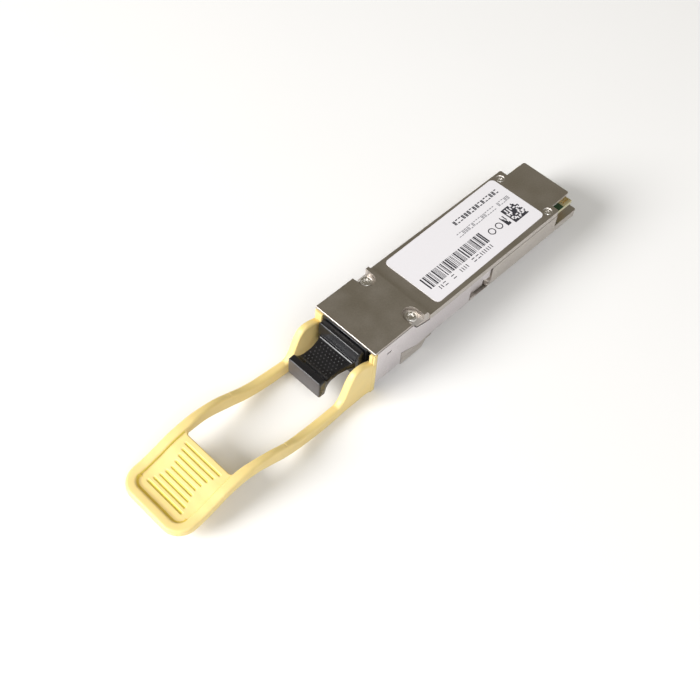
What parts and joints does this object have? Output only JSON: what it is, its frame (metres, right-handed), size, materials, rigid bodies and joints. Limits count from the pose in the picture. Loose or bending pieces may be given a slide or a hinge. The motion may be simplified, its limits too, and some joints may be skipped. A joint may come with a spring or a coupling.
{
  "type": "optical transceiver module",
  "caption": "Pluggable optical transceiver: die-cast shell, multi-fibre port with dust plug, card-edge board and a spring-return pull-tab release.",
  "frame": {"origin": "on the optical axis of the fibre port, in the plane of the nose's front edge", "axes": "+X along the module from the port to the card edge, +Y across it, +Z out of the labelled face"},
  "size_m": [0.1278, 0.0188, 0.0138],
  "materials": {
    "shell_metal": "brushed nickel plate on die-cast zinc",
    "slider_steel": "satin stamped stainless strip",
    "screw_steel": "bright machined heads",
    "label_film": "white polyester label film",
    "tab_plastic": "pale yellow moulded elastomer",
    "plug_plastic": "black moulded plastic with fine texture",
    "port_plastic": "black glass-filled plastic",
    "ferrule_plastic": "polished glass-filled ferrule plastic",
    "pin_steel": "ground stainless pins",
    "fiber_coating": "aqua ribbon coating",
    "board_laminate": "green solder mask on glass laminate",
    "contact_gold": "hard gold plating",
    "chip_black": "moulded chip package",
    "die_grey": "bare semiconductor die",
    "lens_plastic": "amber optical polymer",
    "clip_steel": "spring strip",
    "gasket_foam": "conductive foam",
    "absorber_rubber": "magnetic absorber sheet",
    "thermal_rubber": "soft thermal pad",
    "passive_ceramic": "ceramic chip parts with tinned ends",
    "spring_steel": "music wire"
  },
  "bodies": {
    "housing": {"top_cover": "shell_metal", "lower_housing": "shell_metal", "front_screws": "screw_steel", "rear_screws": "screw_steel", "label": "label_film", "return_spring_left": "spring_steel", "return_spring_right": "spring_steel", "mpo_receptacle": "port_plastic", "mt_ferrule": "ferrule_plastic", "guide_pins": "pin_steel", "pin_keeper": "clip_steel", "ferrule_holder": "port_plastic", "fiber_ribbon": "fiber_coating", "main_board": "board_laminate", "edge_contacts_top": "contact_gold", "edge_contacts_bottom": "contact_gold", "transmit_retimer": "chip_black", "receive_retimer": "chip_black", "thermal_pads": "thermal_rubber", "microcontroller": "chip_black", "passives": "passive_ceramic", "laser_array": "die_grey", "photodiode_array": "die_grey", "laser_driver": "die_grey", "receiver_amplifier": "die_grey", "lens_block": "lens_plastic", "lens_clip": "clip_steel", "rear_gasket": "gasket_foam", "absorber_sheet": "absorber_rubber"},
    "release": {"release_slider": "slider_steel", "pull_tab": "tab_plastic"},
    "plug": {"dust_plug": "plug_plastic"}
  },
  "joints": [
    {"name": "tab_pull", "type": "slide", "parent": "housing", "child": "release", "axis": [-1, 0, 0], "range_m": [0, 0.0025], "stiffness_N_per_m": 800, "springref_m": -0.003, "deforming": ["return_spring_left", "return_spring_right"]},
    {"name": "dust_plug_pull", "type": "slide", "parent": "housing", "child": "plug", "axis": [-1, 0, 0], "range_m": [0, 0.02]}
  ]
}
